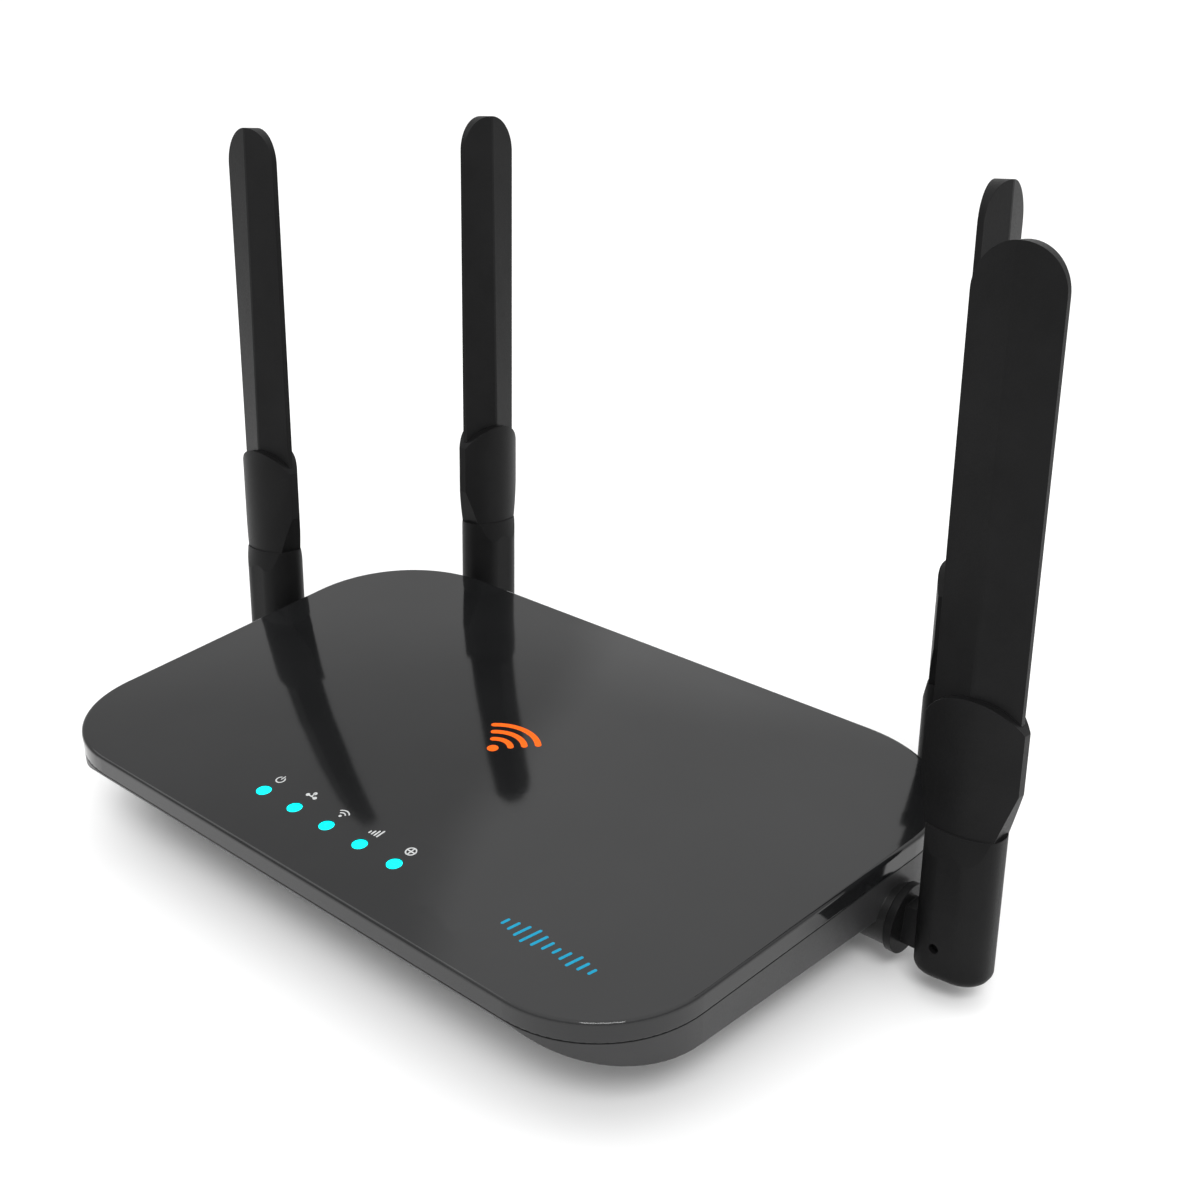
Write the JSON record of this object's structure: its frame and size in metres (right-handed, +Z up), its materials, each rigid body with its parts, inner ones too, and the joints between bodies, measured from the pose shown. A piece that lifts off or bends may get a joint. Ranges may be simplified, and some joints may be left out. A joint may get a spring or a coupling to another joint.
{
  "type": "wireless router",
  "caption": "Flat desktop wireless router with a crowned top, lit front indicators and folding blade antennas on swivel-and-tilt hinges.",
  "frame": {"origin": "centre of the body's plan, on the plane that the rubber feet rest on", "axes": "+Z up, +Y towards the rear wall with the sockets, +X to the right as seen from the front edge with the indicators"},
  "size_m": [0.2825, 0.1885, 0.1725],
  "materials": {
    "cover_gloss": "glossy injection-moulded plastic",
    "housing_matte": "fine-grained moulded plastic",
    "antenna_shell": "satin grained plastic",
    "antenna_hinge": "satin plastic",
    "steel": "zinc-plated steel",
    "pin_steel": "blackened steel",
    "circuit_board": "solder-masked laminate",
    "lead_jacket": "smooth cable jacket",
    "feet_rubber": "matte rubber",
    "light_guide": "clear moulded light guide, lit cyan",
    "led_chip": "lit indicator chip",
    "shield_metal": "tinned steel",
    "heat_sink_metal": "extruded aluminium",
    "chip_black": "moulded epoxy",
    "socket_plastic": "moulded socket body",
    "socket_black": "moulded socket body",
    "contact_brass": "plated contact",
    "button_plastic": "satin plastic",
    "switch_body": "moulded switch body",
    "label_paper": "blank printed label stock"
  },
  "bodies": {
    "root": {"antenna_lead_1": "lead_jacket", "antenna_lead_2": "lead_jacket", "antenna_lead_3": "lead_jacket", "antenna_lead_4": "lead_jacket", "board_screws": "steel", "bottom_housing": "housing_matte", "case_screws": "steel", "dc_jack": "socket_black", "dc_jack_pin": "contact_brass", "ethernet_jack_1": "socket_plastic", "ethernet_jack_2": "socket_plastic", "heat_sink": "heat_sink_metal", "led_chips": "led_chip", "light_guide": "light_guide", "main_board": "circuit_board", "power_switch": "switch_body", "processor": "chip_black", "rating_label": "label_paper", "reset_switch": "switch_body", "rubber_feet": "feet_rubber", "shield_cans": "shield_metal", "top_cover": "cover_gloss", "wps_switch": "switch_body"},
    "antenna_1_knuckle_body": {"antenna_1_knuckle": "antenna_hinge", "antenna_1_clip": "steel"},
    "antenna_1_arm_body": {"antenna_1_arm": "antenna_shell", "antenna_1_blade": "antenna_shell", "antenna_1_element": "circuit_board", "antenna_1_pin": "pin_steel"},
    "antenna_2_knuckle_body": {"antenna_2_knuckle": "antenna_hinge", "antenna_2_clip": "steel"},
    "antenna_2_arm_body": {"antenna_2_arm": "antenna_shell", "antenna_2_blade": "antenna_shell", "antenna_2_element": "circuit_board", "antenna_2_pin": "pin_steel"},
    "antenna_3_knuckle_body": {"antenna_3_knuckle": "antenna_hinge", "antenna_3_clip": "steel"},
    "antenna_3_arm_body": {"antenna_3_arm": "antenna_shell", "antenna_3_blade": "antenna_shell", "antenna_3_element": "circuit_board", "antenna_3_pin": "pin_steel"},
    "antenna_4_knuckle_body": {"antenna_4_knuckle": "antenna_hinge", "antenna_4_clip": "steel"},
    "antenna_4_arm_body": {"antenna_4_arm": "antenna_shell", "antenna_4_blade": "antenna_shell", "antenna_4_element": "circuit_board", "antenna_4_pin": "pin_steel"},
    "power_button_body": {"power_button": "button_plastic"},
    "wps_button_body": {"wps_button": "button_plastic"},
    "reset_button_body": {"reset_button": "button_plastic"}
  },
  "joints": [
    {"name": "antenna_1_swivel", "type": "hinge", "parent": "root", "child": "antenna_1_knuckle_body", "pos_m": [-0.12286, 0.0267, 0.0142], "axis": [-1, 0, 0], "range_deg": [-96.9, 83.1]},
    {"name": "antenna_1_tilt", "type": "hinge", "parent": "antenna_1_knuckle_body", "child": "antenna_1_arm_body", "pos_m": [-0.12286, 0.0267, 0.0142], "axis": [0, -0.9928, 0.1201], "range_deg": [-10.8, 85.2]},
    {"name": "antenna_2_swivel", "type": "hinge", "parent": "root", "child": "antenna_2_knuckle_body", "pos_m": [-0.0885, 0.08685, 0.0142], "axis": [0, 1, 0], "range_deg": [-85.8, 94.2]},
    {"name": "antenna_2_tilt", "type": "hinge", "parent": "antenna_2_knuckle_body", "child": "antenna_2_arm_body", "pos_m": [-0.0885, 0.08685, 0.0142], "axis": [-0.9973, 0, -0.0732], "range_deg": [-6.9, 83.1]},
    {"name": "antenna_3_swivel", "type": "hinge", "parent": "root", "child": "antenna_3_knuckle_body", "pos_m": [0.0885, 0.08685, 0.0142], "axis": [0, 1, 0], "range_deg": [-85.8, 94.2]},
    {"name": "antenna_3_tilt", "type": "hinge", "parent": "antenna_3_knuckle_body", "child": "antenna_3_arm_body", "pos_m": [0.0885, 0.08685, 0.0142], "axis": [-0.9973, 0, -0.0732], "range_deg": [-6.9, 83.1]},
    {"name": "antenna_4_swivel", "type": "hinge", "parent": "root", "child": "antenna_4_knuckle_body", "pos_m": [0.12286, 0.0267, 0.0142], "axis": [1, 0, 0], "range_deg": [-83.1, 96.9]},
    {"name": "antenna_4_tilt", "type": "hinge", "parent": "antenna_4_knuckle_body", "child": "antenna_4_arm_body", "pos_m": [0.12286, 0.0267, 0.0142], "axis": [0, 0.9928, -0.1201], "range_deg": [-1.6, 94.4]},
    {"name": "power_press", "type": "slide", "parent": "root", "child": "power_button_body", "axis": [0, -1, 0], "range_m": [0, 0.0015], "stiffness_N_per_m": 400, "springref_m": -0.001},
    {"name": "wps_press", "type": "slide", "parent": "root", "child": "wps_button_body", "axis": [0, -1, 0], "range_m": [0, 0.0008], "stiffness_N_per_m": 400, "springref_m": -0.001},
    {"name": "reset_press", "type": "slide", "parent": "root", "child": "reset_button_body", "axis": [0, -1, 0], "range_m": [0, 0.0005], "stiffness_N_per_m": 400, "springref_m": -0.001}
  ]
}
